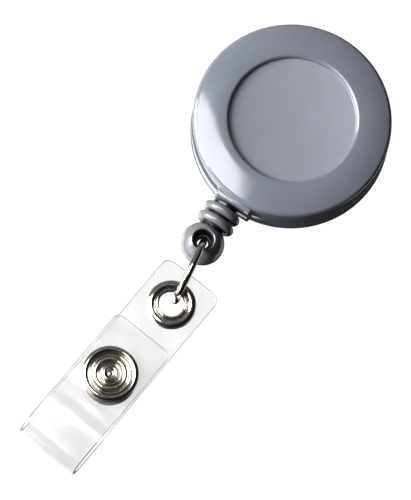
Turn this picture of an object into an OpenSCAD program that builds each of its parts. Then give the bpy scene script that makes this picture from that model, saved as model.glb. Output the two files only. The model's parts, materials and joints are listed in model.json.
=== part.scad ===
// Retractable badge reel: a round spring-wound cord reel that hangs from a belt clip, with a stopper bead,
// a jump ring and a clear snap strap on the end of its cord.
// The row frame has +Z up and the face of the case towards -Y. The origin is on the axis of the case, in the
// plane of its rear face. Most modules are drawn lying down, with x to the right, y up the hanging object and
// z out of the face, and hang() stands them up.

/* [Case] */
// Outside diameter of the round case
case_d = 32; // [30:0.5:40]
// Depth of the case from its rear face to the top of the front dome
case_depth = 9.2; // [8.6:0.1:12]
// Thickness of the moulded walls
wall_t = 1.2; // [1:0.1:1.3]
// How far the dome falls from its top to the side band
dome_drop = 0.8; // [0.6:0.1:2]
// Radius between the dome and the side band
shoulder_r = 0.8; // [0.6:0.1:1.2]
// Radius of the rear edge of the case
rear_edge_r = 0.8; // [0.4:0.1:1]
// Diameter of the label recess in the face
label_d = 20.5; // [17:0.5:22]
// Depth of the label recess
label_depth = 0.8; // [0.5:0.1:1]
// Radius of the rounded edge around the label recess
label_edge_r = 0.6; // [0.3:0.1:0.7]
// Height of the locating lip where the two shells meet
lip_h = 0.8; // [0.5:0.1:1]
// Thickness of the locating lip
lip_t = 0.5; // [0.4:0.05:0.6]

/* [Mouth] */
// Sideways offset of the cord's exit from the axis of the case
mouth_x = -1.9; // [-3:0.1:0]
// Sideways offset of the mouth block from the cord's exit
block_shift = 0.8; // [0:0.1:1]
// Width of the mouth block
block_w = 6.4; // [6.2:0.1:9]
// Depth of the mouth block, front to back
block_depth = 6; // [4.6:0.1:6.4]
// How far the mouth block stands out below the case
block_out = 0.6; // [0.4:0.1:1.5]
// Diameter of the hole that the cord leaves through
mouth_hole_d = 1.8; // [1.4:0.1:2.4]

/* [Cord] */
// Diameter of the cord
cord_d = 0.8; // [0.6:0.1:1]
// Length of cord wound on the spool
cord_length = 864; // [600:6:900]

/* [Spool] */
// Outside diameter of the drum that the cord winds on
drum_d = 20; // [18:0.5:21]
// Thickness of the drum's wall
drum_wall_t = 1.2; // [1:0.1:1.5]
// Thickness of each spool flange
flange_t = 1; // [0.8:0.1:1.2]
// Thickness of the spool's cover disc
spool_cover_t = 0.6; // [0.4:0.1:0.7]
// Outside diameter of the fixed centre post
post_d = 6; // [5.4:0.2:7]
// Diameter of the hollow down the centre post
post_hollow_d = 4.2; // [3.8:0.1:4.2]
// Gap between the spool and the shells at each face
spool_end_gap = 0.25; // [0.15:0.05:0.3]
// Gap between the spool flanges and the side wall
spool_side_gap = 1.4; // [1.3:0.1:1.6]
// Radial clearance of the spool on the centre post
running_gap = 0.05; // [0.02:0.01:0.1]

/* [Power spring] */
// Thickness of the spring strip
spring_t = 0.15; // [0.1:0.01:0.18]
// Turns of the spring with the cord wound in
spring_turns = 10; // [8:1:10]
// Gap beside the spring strip at each edge
spring_edge_gap = 0.3; // [0.2:0.05:0.4]

/* [Belt clip] */
// Width of the clip's steel strip
clip_w = 12; // [10:0.5:14]
// Thickness of the clip's steel strip
clip_t = 0.8; // [0.6:0.1:1]
// Clear gap between the clip's base and its tongue
clip_gap = 4.8; // [4.6:0.1:6]
// Height of the clip's bend above the axis of the case
clip_top = 9.5; // [8:0.5:10]
// How far the clip's base reaches below the axis of the case
clip_foot = 9; // [7:0.5:10]
// Diameter of the rivet's shank
rivet_d = 2.4; // [2:0.1:2.8]
// Diameter of the rivet's head
rivet_head_d = 5; // [4:0.1:5.2]
// Height of the rivet's head
rivet_head_h = 0.7; // [0.5:0.1:0.8]

/* [Stopper bead] */
// Diameter of the ball
ball_d = 7; // [6.4:0.1:8]
// Diameter of the hole through the ball for the jump ring
ball_hole_d = 3.2; // [3:0.1:3.4]
// Diameter of the countersunk edge of that hole
ball_sink_d = 4; // [3.6:0.1:4.2]
// Diameter of the bead's neck
neck_d = 4.5; // [4:0.1:5]
// Diameter of the two ribs
rib_d = 6.4; // [5.6:0.1:7]
// Thickness of each rib
rib_t = 1.5; // [1:0.1:1.6]
// Distance between the middles of the ribs
rib_pitch = 1.9; // [1.8:0.1:2.4]
// Length of the neck between the top of the bead and the first rib
neck_h = 0.7; // [0.6:0.1:1.5]
// Diameter of the knot that holds the bead
knot_d = 2; // [1.6:0.1:2.1]
// Length, along the ring's wire, of the cord's turns round the ring
loop_length = 1.6; // [0.8:0.1:1.8]
// Gap between the mouth block and the bead when the cord is wound in
bead_gap = 0.15; // [0.1:0.05:0.5]

/* [Jump ring] */
// Diameter of the ring, measured to the middle of its wire
ring_d = 10.3; // [10:0.1:12]
// Diameter of the ring's wire
ring_wire_d = 1.2; // [1:0.1:1.3]
// Lean of the ring from straight down, lower end towards +X
ring_lean = 6.7; // [-15:0.1:15]
// Turn of the ring about its own length, front towards +X
ring_turn = 4; // [-5:0.5:5]

/* [Strap] */
// Width of the strap
strap_w = 11; // [10.4:0.1:13.4]
// Thickness of the vinyl sheet
strap_t = 0.5; // [0.4:0.05:0.6]
// Length of the closed strap from its tip to its fold
strap_length = 37.9; // [36:0.1:45]
// Distance from the strap's tip to the middle of the eyelet
eyelet_from_tip = 5.8; // [5.4:0.1:7]
// Distance from the strap's tip to the free end of the flap
flap_from_tip = 12.8; // [12:0.1:14]
// Distance from the strap's tip to the middle of the snap
snap_from_tip = 21.5; // [20:0.1:22]
// Radius of the strap's tip corners
tip_corner_r = 1.5; // [1:0.1:3]
// Radius of the flap's corners
flap_corner_r = 1.2; // [1:0.1:3]
// Distance between the middles of the two layers at the snap
layer_gap = 3; // [3:0.1:3.4]
// Extra width of the loop on each side, next to the fold
loop_bulge = 1; // [0.9:0.1:1.4]
// Lean of the strap from straight down, lower end towards -X
strap_lean = 7.4; // [-15:0.1:15]

/* [Eyelet] */
// Outside diameter of the eyelet's flange and of its washer
eyelet_d = 7.9; // [6.5:0.1:8.4]
// Clear diameter of the eyelet
eyelet_hole_d = 4.6; // [4:0.1:4.8]
// Wall of the eyelet's barrel
eyelet_wall_t = 0.3; // [0.25:0.05:0.35]
// Height of the eyelet's flange above the vinyl
eyelet_h = 0.75; // [0.6:0.05:0.9]

/* [Snap] */
// Outside diameter of the snap's cap
snap_cap_d = 9.1; // [8.4:0.1:9.6]
// Height of the cap's rolled rim above the flap
snap_cap_h = 0.95; // [0.7:0.05:1.1]
// Outside diameter of the socket behind the flap
snap_socket_d = 8; // [7:0.1:8.4]
// Diameter of the stud's head
stud_head_d = 3.5; // [3.2:0.1:3.8]
// Diameter of the stud's neck
stud_neck_d = 2.8; // [2.4:0.1:2.9]
// Radial clearance of the stud's head in the socket
snap_clearance = 0.15; // [0.1:0.05:0.2]
// Wire diameter of the spring ring in the socket
snap_wire_d = 0.4; // [0.3:0.05:0.4]

/* [Hidden] */
$fn = 64;

plastic = [0.55, 0.57, 0.61];
nickel = [0.72, 0.70, 0.67];
vinyl = [0.90, 0.91, 0.93, 0.5];
cord_black = [0.12, 0.12, 0.13];

eps = 0.01;
assembly_gap = 0.05;   // clearance between pieces that are fixed together

// Case
case_r = case_d / 2;
inner_r = case_r - wall_t;
recess_floor_z = case_depth - label_depth;
ceiling_z = recess_floor_z - wall_t;
mid_z = (wall_t + ceiling_z) / 2;
parting_z = mid_z;
dome_x = label_d / 2 + label_edge_r;
dome_run = case_r - dome_x;
dome_r = (dome_run * dome_run + dome_drop * dome_drop) / (2 * dome_drop);
dome_z = case_depth - dome_r;
shoulder_x = case_r - shoulder_r;
shoulder_z = dome_z + sqrt(pow(dome_r - shoulder_r, 2) - pow(shoulder_x - dome_x, 2));
shoulder_a = atan2(shoulder_z - dome_z, shoulder_x - dome_x);
inner_bevel = 1.2;
lip_r = inner_r + lip_t;
spigot_d = post_hollow_d - 4 * assembly_gap;
spigot_h = 1.4;

// Mouth
block_x = mouth_x + block_shift;
block_end = case_r + block_out;
mouth_flare_d = mouth_hole_d + 1.6;
mouth_flare_h = 0.8;

// Spool
spool_z0 = wall_t + spool_end_gap;
spool_z1 = ceiling_z - spool_end_gap;
drum_r = drum_d / 2;
cavity_r = drum_r - drum_wall_t;
flange_r = inner_r - spool_side_gap;
winding_z0 = spool_z0 + flange_t;
winding_z1 = spool_z1 - flange_t;
winding_r = sqrt(drum_r * drum_r + cord_length * cord_d * cord_d / (PI * (winding_z1 - winding_z0)));
cover_seat_r = cavity_r + 0.5;
hub_r = post_d / 2 + 1.2;
hub_h = 0.4;
tab_slot_w = 0.5;
anchor_r = drum_r + 1.4;
anchor_angle = 70;
anchor_knot_d = 1.8;
anchor_knot_h = 0.6;

// Belt clip, whose tongue eases in to a nip and turns out at its lip
clip_mid_z = -clip_t / 2;
clip_bend_r = (clip_gap + clip_t) / 2;
clip_out_z = clip_mid_z - 2 * clip_bend_r;
clip_nip_z = -(clip_t + 2);
clip_ease_v = 2;
clip_nip_v = -6.5;
clip_lip = [[-0.5, -1.6], [-1.5, -3.1]];
guide_gap = 0.1;
guide_w = 0.8;
guide_h = 0.5;
guide_length = 8;

// Power spring
spring_z0 = winding_z0 + spring_edge_gap;
spring_z1 = spool_z1 - spool_cover_t - spring_edge_gap;
spring_in_r = post_d / 2 + 0.35;
spring_out_r = cavity_r - 0.15;
spring_steps = 16;
spring_tab = 0.7;

// Cord
run_gap = 0.1;
run_r = winding_r + cord_d / 2 + run_gap;
turn_in = [mouth_x, -(inner_r + 0.2)];
run_angle = atan2(turn_in.y, turn_in.x) - acos(run_r / norm(turn_in));
run_start = run_r * [cos(run_angle), sin(run_angle)];
run_end = [mouth_x, -(case_r - 0.3)];

// Bead, measured downwards from its top
bead_top = -(block_end + bead_gap);
rib_1_y = bead_top - neck_h - rib_t / 2;
rib_2_y = rib_1_y - rib_pitch;
ball_overlap = 0.25;   // how far the ball's top reaches into the lower rib
ball_y = rib_2_y - rib_t / 2 - ball_d / 2 + ball_overlap;
waist_d = neck_d - 0.1;
bead_bore_d = cord_d + 0.3;
knot_room_d = knot_d + 0.4;
knot_y = ball_y + ball_hole_d / 2 + knot_d / 2 + 0.1;
loop_in_r = ring_wire_d / 2 + 0.3;
loop_out_r = ball_hole_d / 2 - 0.1;
knot_room_top = knot_y + knot_d / 2 + 0.05;
// The countersink meets the ball's surface at ball_sink_d
sink_slope = 0.7;
sink_h = 2;
sink_z = sqrt(pow(ball_d / 2, 2) - pow(ball_sink_d / 2, 2)) - (ball_sink_d - ball_hole_d) / 2 / sink_slope;

// Ring and strap, hung from the ball
ring_drop = ring_d / 2 - 0.1;
ring_down = [sin(ring_lean), -cos(ring_lean)];
ring_at = [mouth_x, ball_y] + ring_drop * ring_down;
ring_foot = ring_at + ring_d / 2 * ring_down;
ring_split = 1.5;
strap_down = [-sin(strap_lean), -cos(strap_lean)];
wire_play = 0.55;   // between the ring's wire and the eyelet it hangs in
wire_in_eyelet = eyelet_hole_d / 2 - ring_wire_d / 2 - wire_play;
eyelet_at = ring_foot + wire_in_eyelet * strap_down;

// Strap, with its eyelet at v = 0 and v running up
tip_v = eyelet_from_tip;
flap_v = tip_v - flap_from_tip;
snap_v = tip_v - snap_from_tip;
fold_v = tip_v - strap_length;
back_z = mid_z;
flap_z = back_z + layer_gap;
loop_r = layer_gap / 2 + loop_bulge;
loop_z = back_z + layer_gap / 2;
loop_v = fold_v + strap_t / 2 + loop_r;
flap_root_v = loop_v + 0.4;   // the flap turns here, just above the fold
bulge_start_v = snap_v - snap_cap_d / 2 - 0.3;
bulge_length = 4.4;
back_face_z = back_z + strap_t / 2;
back_rear_z = back_z - strap_t / 2;
flap_face_z = flap_z + strap_t / 2;
flap_rear_z = flap_z - strap_t / 2;

// Eyelet
barrel_r = eyelet_hole_d / 2 + eyelet_wall_t;
barrel_end_z = back_rear_z - 0.6;
washer_z = back_rear_z - 0.4;
flange_edge = 0.4;
flange_rim_h = 0.2;

// Snap
tube_r = 1;
tube_wall_t = 0.3;
post_tube_r = 0.9;
metal_t = 0.35;
cap_rim_t = 0.35;
cap_groove = [1.1, 1.6];     // inwards from the cap's edge
cap_ring = [1.9, 0.6];       // inwards from the edge, and height
snap_post_h = 0.7;
snap_post_r = snap_cap_d / 2 - 0.3;
socket_z0 = back_face_z + metal_t + 0.15;
socket_bevel = 0.7;
head_top_z = flap_rear_z - 0.85;
head_h = 0.45;
spring_ring_z = head_top_z - head_h - snap_wire_d / 2 - 0.05;
spring_ring_r = stud_neck_d / 2 + snap_wire_d / 2 + 0.12;

function arc(x, y, r, a0, a1, n = 8) =
    [for (i = [0:n]) let (a = a0 + (a1 - a0) * i / n) [x + r * cos(a), y + r * sin(a)]];
function heading(path, i) =
    let (d = path[min(i + 1, len(path) - 1)] - path[max(i - 1, 0)]) d / norm(d);
function beside(path, i, off) = path[i] + off * [-heading(path, i).y, heading(path, i).x];
// Outline of a strip of thickness t that follows a path
function strip(path, t) = let (last = len(path) - 1) concat(
    [for (i = [0:last]) beside(path, i, t / 2)],
    [for (i = [last:-1:0]) beside(path, i, -t / 2)]
);
function ease(t) = (1 - cos(180 * t)) / 2;

module hang() rotate([90, 0, 0]) children();
module on_strap(v = 0) hang() translate([eyelet_at.x, eyelet_at.y, 0]) rotate([0, 0, -strap_lean])
    translate([0, v, 0]) children();
// Extrudes an outline drawn as (z, y) sideways by w
module sideways(w) rotate([0, -90, 0]) linear_extrude(w, center = true) children();
module rod(a, b, d) translate([a.x, a.y, mid_z]) rotate([0, 0, atan2(b.y - a.y, b.x - a.x)])
    rotate([0, 90, 0]) cylinder(h = norm(b - a), d = d, $fn = 24);
module disc(r, z0, z1) translate([0, 0, z0]) cylinder(h = z1 - z0, r = r);

// ---- Case ----
module mouth_block(z0, z1) translate([block_x - block_w / 2, -block_end, z0])
    cube([block_w, block_end - inner_r + 2, z1 - z0]);

module mouth_cut() translate([mouth_x, 0, mid_z]) rotate([90, 0, 0]) {
    translate([0, 0, inner_r - 3]) cylinder(h = block_out + wall_t + 4, d = mouth_hole_d);
    translate([0, 0, inner_r - 2]) cylinder(h = 2, d = mouth_flare_d);
    translate([0, 0, inner_r - eps]) cylinder(h = mouth_flare_h, d1 = mouth_flare_d, d2 = mouth_hole_d);
}

module front_cover() color(plastic) hang() {
    difference() {
        union() {
            rotate_extrude() polygon(concat(
                [[0, parting_z], [case_r, parting_z]],
                arc(shoulder_x, shoulder_z, shoulder_r, 0, shoulder_a, 6),
                arc(dome_x, dome_z, dome_r, shoulder_a, 90, 10),
                arc(dome_x, case_depth - label_edge_r, label_edge_r, 100, 170, 5),
                [[label_d / 2, recess_floor_z], [0, recess_floor_z]]
            ));
            mouth_block(parting_z, mid_z + block_depth / 2);
        }
        rotate_extrude() polygon([
            [0, parting_z - 1],
            [lip_r + assembly_gap, parting_z - 1],
            [lip_r + assembly_gap, parting_z + lip_h + assembly_gap],
            [inner_r, parting_z + lip_h + assembly_gap],
            [inner_r, ceiling_z - inner_bevel],
            [inner_r - inner_bevel, ceiling_z],
            [0, ceiling_z]
        ]);
        mouth_cut();
    }
    disc(spigot_d / 2, ceiling_z - spigot_h, ceiling_z);
}

module rear_case() color(plastic) hang() {
    difference() {
        union() {
            rotate_extrude() polygon(concat(
                [[0, 0]],
                arc(case_r - rear_edge_r, rear_edge_r, rear_edge_r, -90, 0, 5),
                [
                    [case_r, parting_z],
                    [lip_r, parting_z],
                    [lip_r, parting_z + lip_h],
                    [0, parting_z + lip_h]
                ]
            ));
            mouth_block(mid_z - block_depth / 2, parting_z);
        }
        disc(inner_r, wall_t, case_depth);
        mouth_cut();
        disc(rivet_d / 2 + assembly_gap, -1, wall_t + 1);
    }
    clip_guides();
    centre_post();
}

module clip_guides() for (side = [-1, 1])
    translate([side * (clip_w / 2 + guide_gap + guide_w / 2) - guide_w / 2, -guide_length / 2, -guide_h])
    cube([guide_w, guide_length, guide_h]);

module centre_post() difference() {
    disc(post_d / 2, wall_t, ceiling_z - 0.2);
    disc(post_hollow_d / 2, wall_t - 1, case_depth);
    translate([0, -tab_slot_w / 2, spring_z0 - 0.2]) cube([post_d, tab_slot_w, case_depth]);
}

// ---- Belt clip ----
clip_path = concat(
    [[clip_mid_z, -clip_foot], [clip_mid_z, 0]],
    arc(clip_mid_z - clip_bend_r, clip_top, clip_bend_r, 0, 180, 14),
    [[clip_out_z, clip_ease_v]],
    [for (i = [1:8]) [
        clip_out_z + (clip_nip_z - clip_out_z) * ease(i / 8),
        clip_ease_v + (clip_nip_v - clip_ease_v) * i / 8
    ]],
    [for (step = clip_lip) [clip_nip_z, clip_nip_v] + step]
);

module belt_clip() color(nickel) hang() difference() {
    sideways(clip_w) polygon(strip(clip_path, clip_t));
    disc(rivet_d / 2 + assembly_gap, -clip_t - 0.5, 1);
}

module clip_rivet() color(nickel) hang() {
    disc(rivet_head_d / 2, -clip_t - rivet_head_h, -clip_t);
    disc(rivet_d / 2, -clip_t, wall_t);
    disc(post_hollow_d / 2 - 2 * assembly_gap, wall_t, wall_t + 0.4);
}

// ---- Spool ----
module spool() color(plastic) hang() difference() {
    union() {
        disc(flange_r, spool_z0, winding_z0);
        disc(drum_r, spool_z0, spool_z1);
        disc(flange_r, winding_z1, spool_z1);
    }
    difference() {
        disc(cavity_r, winding_z0, case_depth);
        disc(hub_r, winding_z0 - 1, winding_z0 + hub_h - spring_edge_gap / 2);
    }
    disc(post_d / 2 + running_gap, 0, case_depth);
    disc(cover_seat_r, spool_z1 - spool_cover_t, case_depth);
    translate([0, -tab_slot_w / 2, spring_z0 - 0.1])
        cube([drum_r - 0.2, tab_slot_w, spring_z1 - spring_z0 + 0.2]);
    rotate([0, 0, anchor_angle]) translate([anchor_r, 0, 0]) {
        disc(cord_d / 2 + assembly_gap, winding_z1 - eps, case_depth);
        disc(anchor_knot_d / 2 + assembly_gap, spool_z1 - anchor_knot_h - assembly_gap, case_depth);
    }
}

module spool_cover() color(plastic) hang() difference() {
    disc(cover_seat_r - assembly_gap, spool_z1 - spool_cover_t, spool_z1);
    disc(post_d / 2 + running_gap, 0, case_depth);
}

function spring_r(t) = spring_in_r + (spring_out_r - spring_in_r) * (0.6 * t + 0.4 * (1 - pow(1 - t, 2)));

// The strip ends in a tab in the post's slot and a tab in the drum's slot
spring_count = spring_turns * spring_steps;
spring_path = concat(
    [[post_d / 2 - spring_tab, 0]],
    [for (i = [0:spring_count]) let (a = 360 * i / spring_steps) spring_r(i / spring_count) * [cos(a), sin(a)]],
    [[spring_out_r + spring_tab, 0]]
);

module power_spring() color(nickel) hang() translate([0, 0, spring_z0])
    linear_extrude(spring_z1 - spring_z0) polygon(strip(spring_path, spring_t));

module cord_winding() color(cord_black) hang() difference() {
    disc(winding_r, winding_z0, winding_z1);
    disc(drum_r, winding_z0 - 1, winding_z1 + 1);
}

module cord_anchor_knot() color(cord_black) hang() rotate([0, 0, anchor_angle]) translate([anchor_r, 0, 0]) {
    disc(cord_d / 2, winding_z1, spool_z1 - anchor_knot_h);
    disc(anchor_knot_d / 2, spool_z1 - anchor_knot_h, spool_z1);
}

// ---- Cord ----
module cord_run() color(cord_black) hang() {
    rod(run_start, turn_in, cord_d);
    translate([turn_in.x, turn_in.y, mid_z]) sphere(d = cord_d + assembly_gap, $fn = 24);
    rod(turn_in, run_end, cord_d);
}

module cord_tail() color(cord_black) hang()
    rod([mouth_x, run_end.y - assembly_gap], [mouth_x, knot_y + knot_d / 2 - 0.1], cord_d);

// The knot stops the bead, and turns of cord under it go round the ring's wire
module bead_knot() color(cord_black) hang() difference() {
    union() {
        translate([mouth_x, knot_y, mid_z]) sphere(d = knot_d);
        rod([mouth_x, knot_y], [mouth_x, ball_y + loop_in_r], cord_d);
        translate([mouth_x, ball_y]) disc(loop_out_r, mid_z - loop_length / 2, mid_z + loop_length / 2);
    }
    rod([mouth_x, bead_top], [mouth_x, knot_y + knot_d / 2 - 0.1], cord_d);
    translate([mouth_x, ball_y]) disc(loop_in_r, 0, case_depth);
}

// ---- Bead and ring ----
function half_round(x, y, t) = [for (a = [90:-22.5:-90]) [x - t / 2 + t / 2 * cos(a), y + t / 2 * sin(a)]];

module stopper_bead() color(plastic) hang() translate([mouth_x, 0, mid_z]) difference() {
    rotate([-90, 0, 0]) union() {
        rotate_extrude() polygon(concat(
            [[0, bead_top], [neck_d / 2, bead_top]],
            [[neck_d / 2, rib_1_y + rib_t / 2]],
            half_round(rib_d / 2, rib_1_y, rib_t),
            [[waist_d / 2, rib_1_y - rib_t / 2], [waist_d / 2, rib_2_y + rib_t / 2]],
            half_round(rib_d / 2, rib_2_y, rib_t),
            [[waist_d / 2, rib_2_y - rib_t / 2], [waist_d / 2, rib_2_y - rib_t], [0, rib_2_y - rib_t]]
        ));
        translate([0, 0, ball_y]) sphere(d = ball_d);
    }
    translate([0, ball_y, 0]) {
        translate([0, 0, -ball_d]) cylinder(h = 2 * ball_d, d = ball_hole_d);
        for (side = [0, 1]) mirror([0, 0, side]) translate([0, 0, sink_z])
            cylinder(h = sink_h, d1 = ball_hole_d, d2 = ball_hole_d + 2 * sink_slope * sink_h);
    }
    rotate([90, 0, 0]) translate([0, 0, -bead_top - 1]) cylinder(h = bead_top - knot_y + 1, d = bead_bore_d);
    rotate([90, 0, 0]) translate([0, 0, -knot_room_top])
        cylinder(h = knot_room_top - ball_y, d = knot_room_d);
}

module jump_ring() color(nickel) hang() translate([ring_at.x, ring_at.y, mid_z]) rotate([0, 0, ring_lean])
    rotate([0, 90 + ring_turn, 0]) rotate_extrude(angle = 360 - ring_split) translate([ring_d / 2, 0])
    circle(d = ring_wire_d, $fn = 24);

// ---- Strap ----
// The rear layer runs down, round the fold and up to where the flap begins
bulge_path = [for (i = [0:8]) [loop_bulge * ease(i / 8), bulge_start_v - bulge_length * i / 8]];
back_path = concat(
    [[back_z, tip_v], [back_z, snap_v]],
    [for (p = bulge_path) [back_z - p.x, p.y]],
    arc(loop_z, loop_v, loop_r, 180, 360, 20),
    [[loop_z + loop_r, flap_root_v]]
);
flap_path = concat(
    [[loop_z + loop_r, flap_root_v]],
    [for (i = [8:-1:0]) [flap_z + bulge_path[i].x, bulge_path[i].y]],
    [[flap_z, flap_v]]
);

module strap_layer(path, end_v, corner_r) intersection() {
    sideways(strap_w) polygon(strip(path, strap_t));
    union() {
        translate([-strap_w, fold_v - 1, 0]) cube([2 * strap_w, end_v - corner_r - fold_v + 1, 20]);
        translate([-strap_w / 2 + corner_r, end_v - corner_r - 1, 0])
            cube([strap_w - 2 * corner_r, corner_r + 1, 20]);
        for (side = [-1, 1]) translate([side * (strap_w / 2 - corner_r), end_v - corner_r, 0])
            cylinder(h = 20, r = corner_r);
    }
}

module strap_back() color(vinyl) difference() {
    on_strap() strap_layer(back_path, tip_v, tip_corner_r);
    on_strap() disc(barrel_r + assembly_gap, 0, 20);
    on_strap(snap_v) disc(post_tube_r + assembly_gap, 0, back_face_z + 0.5);
}

module strap_flap() color(vinyl) difference() {
    on_strap() strap_layer(flap_path, flap_v, flap_corner_r);
    on_strap(snap_v) disc(tube_r + assembly_gap, flap_rear_z - 0.5, 20);
}

// ---- Eyelet ----
module strap_eyelet() color(nickel) on_strap() rotate_extrude() polygon([
    [eyelet_hole_d / 2, barrel_end_z],
    [barrel_r, barrel_end_z],
    [barrel_r, back_face_z],
    [eyelet_d / 2, back_face_z],
    [eyelet_d / 2, back_face_z + flange_rim_h],
    [eyelet_d / 2 - flange_edge, back_face_z + eyelet_h - flange_rim_h],
    [barrel_r + flange_edge, back_face_z + eyelet_h],
    [barrel_r, back_face_z + eyelet_h - 0.1],
    [eyelet_hole_d / 2, back_face_z + flange_rim_h]
]);

module eyelet_washer() color(nickel) on_strap() rotate_extrude() polygon([
    [barrel_r + assembly_gap, washer_z],
    [eyelet_d / 2 - flange_edge, washer_z],
    [eyelet_d / 2, back_rear_z - flange_rim_h],
    [eyelet_d / 2, back_rear_z],
    [barrel_r + assembly_gap, back_rear_z]
]);

// ---- Snap ----
// A rolled rim, a groove and a ring round the tube that is rolled over in the socket
module snap_cap() color(nickel) on_strap(snap_v) rotate_extrude() polygon([
    [tube_r - tube_wall_t, flap_face_z + tube_wall_t / 2],
    [tube_r - tube_wall_t, flap_rear_z - metal_t - flange_rim_h],
    [tube_r, flap_rear_z - metal_t - flange_rim_h],
    [tube_r, flap_face_z],
    [snap_cap_d / 2, flap_face_z],
    [snap_cap_d / 2, flap_face_z + snap_cap_h - cap_rim_t],
    [snap_cap_d / 2 - cap_rim_t, flap_face_z + snap_cap_h],
    [snap_cap_d / 2 - 2.5 * cap_rim_t, flap_face_z + snap_cap_h - 0.1],
    [snap_cap_d / 2 - cap_groove[0], flap_face_z + metal_t],
    [snap_cap_d / 2 - cap_groove[1], flap_face_z + metal_t],
    [snap_cap_d / 2 - cap_ring[0], flap_face_z + cap_ring[1]],
    [tube_r + tube_wall_t, flap_face_z + cap_ring[1]],
    [tube_r, flap_face_z + snap_cap_h - 0.1],
    [tube_r - tube_wall_t, flap_face_z + snap_cap_h - 0.2]
]);

module snap_socket() color(nickel) on_strap(snap_v) rotate_extrude() polygon([
    [stud_head_d / 2 + snap_clearance, socket_z0],
    [snap_socket_d / 2 - socket_bevel, socket_z0],
    [snap_socket_d / 2, socket_z0 + socket_bevel],
    [snap_socket_d / 2, flap_rear_z],
    [tube_r + assembly_gap, flap_rear_z],
    [tube_r + assembly_gap, flap_rear_z - metal_t],
    [stud_head_d / 2 + snap_clearance, flap_rear_z - metal_t],
    [stud_head_d / 2 + snap_clearance, spring_ring_z + snap_wire_d / 2 + assembly_gap],
    [spring_ring_r + snap_wire_d / 2 + 0.2, spring_ring_z + snap_wire_d / 2 + assembly_gap],
    [spring_ring_r + snap_wire_d / 2 + 0.2, spring_ring_z - snap_wire_d / 2 - assembly_gap],
    [stud_head_d / 2 + snap_clearance, spring_ring_z - snap_wire_d / 2 - assembly_gap]
]);

module snap_spring() color(nickel) on_strap(snap_v) translate([0, 0, spring_ring_z])
    rotate_extrude(angle = 300) translate([spring_ring_r, 0]) circle(d = snap_wire_d, $fn = 16);

module snap_stud() color(nickel) on_strap(snap_v) rotate_extrude() polygon([
    [post_tube_r + assembly_gap, back_face_z],
    [snap_socket_d / 2 - 0.2, back_face_z],
    [snap_socket_d / 2 - 0.2, back_face_z + metal_t],
    [stud_neck_d / 2, back_face_z + metal_t],
    [stud_neck_d / 2, head_top_z - head_h],
    [stud_head_d / 2, head_top_z - head_h + 0.1],
    [stud_head_d / 2, head_top_z - 0.15],
    [stud_head_d / 2 - 0.3, head_top_z],
    [post_tube_r + assembly_gap, head_top_z]
]);

module snap_post() color(nickel) on_strap(snap_v) rotate_extrude() polygon([
    [post_tube_r - tube_wall_t, back_rear_z - tube_wall_t],
    [post_tube_r - tube_wall_t, head_top_z - flange_rim_h],
    [post_tube_r, head_top_z - flange_rim_h],
    [post_tube_r, back_rear_z],
    [snap_post_r, back_rear_z],
    [snap_post_r, back_rear_z - snap_post_h / 2],
    [snap_post_r - cap_rim_t, back_rear_z - snap_post_h],
    [snap_post_r - 2.5 * cap_rim_t, back_rear_z - snap_post_h / 2],
    [post_tube_r + snap_post_h, back_rear_z - snap_post_h / 2],
    [post_tube_r, back_rear_z - snap_post_h]
]);

front_cover();
rear_case();
belt_clip();
clip_rivet();
spool();
spool_cover();
power_spring();
cord_winding();
cord_anchor_knot();
cord_run();
cord_tail();
bead_knot();
stopper_bead();
jump_ring();
strap_back();
strap_eyelet();
eyelet_washer();
snap_stud();
snap_post();
strap_flap();
snap_cap();
snap_socket();
snap_spring();
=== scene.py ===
import json
import math

import bmesh
import bpy
from mathutils import Matrix, Vector


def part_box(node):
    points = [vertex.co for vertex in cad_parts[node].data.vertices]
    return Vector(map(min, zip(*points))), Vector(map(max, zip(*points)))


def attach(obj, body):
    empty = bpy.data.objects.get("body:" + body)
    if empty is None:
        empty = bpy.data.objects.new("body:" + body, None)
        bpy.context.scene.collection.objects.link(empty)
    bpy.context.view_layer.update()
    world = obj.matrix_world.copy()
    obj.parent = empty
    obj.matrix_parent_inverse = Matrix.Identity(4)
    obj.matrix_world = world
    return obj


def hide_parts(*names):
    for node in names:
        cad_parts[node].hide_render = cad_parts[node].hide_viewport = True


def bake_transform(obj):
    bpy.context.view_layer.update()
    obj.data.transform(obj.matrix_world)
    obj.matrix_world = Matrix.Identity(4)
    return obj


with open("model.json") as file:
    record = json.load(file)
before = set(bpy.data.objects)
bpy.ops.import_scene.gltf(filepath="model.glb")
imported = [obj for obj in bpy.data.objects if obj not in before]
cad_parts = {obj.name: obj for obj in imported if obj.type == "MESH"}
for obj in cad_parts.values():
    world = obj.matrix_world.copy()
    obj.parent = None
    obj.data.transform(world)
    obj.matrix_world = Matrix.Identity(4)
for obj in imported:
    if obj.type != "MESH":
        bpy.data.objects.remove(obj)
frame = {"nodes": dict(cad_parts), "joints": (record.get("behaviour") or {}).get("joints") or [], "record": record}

# Retractable badge reel. Lengths below are in millimetres, in a plan of the hanging reel: x to the right,
# y up and z out of its face. UPRIGHT and the matrices made from it take the plan into the frame, in metres.
MM = 0.001
JOINTS = {joint["name"]: joint for joint in frame["joints"]}
MOUNTS = {mount["name"]: mount for mount in frame["record"]["mounts"]}
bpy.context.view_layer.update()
UPRIGHT = Matrix.Scale(MM, 4) @ Matrix.Rotation(math.radians(90), 4, "X")


def plan(point):
    """A point of the frame, in metres, as a point of the plan."""
    return Vector((point[0], point[2], -point[1])) / MM


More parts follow.
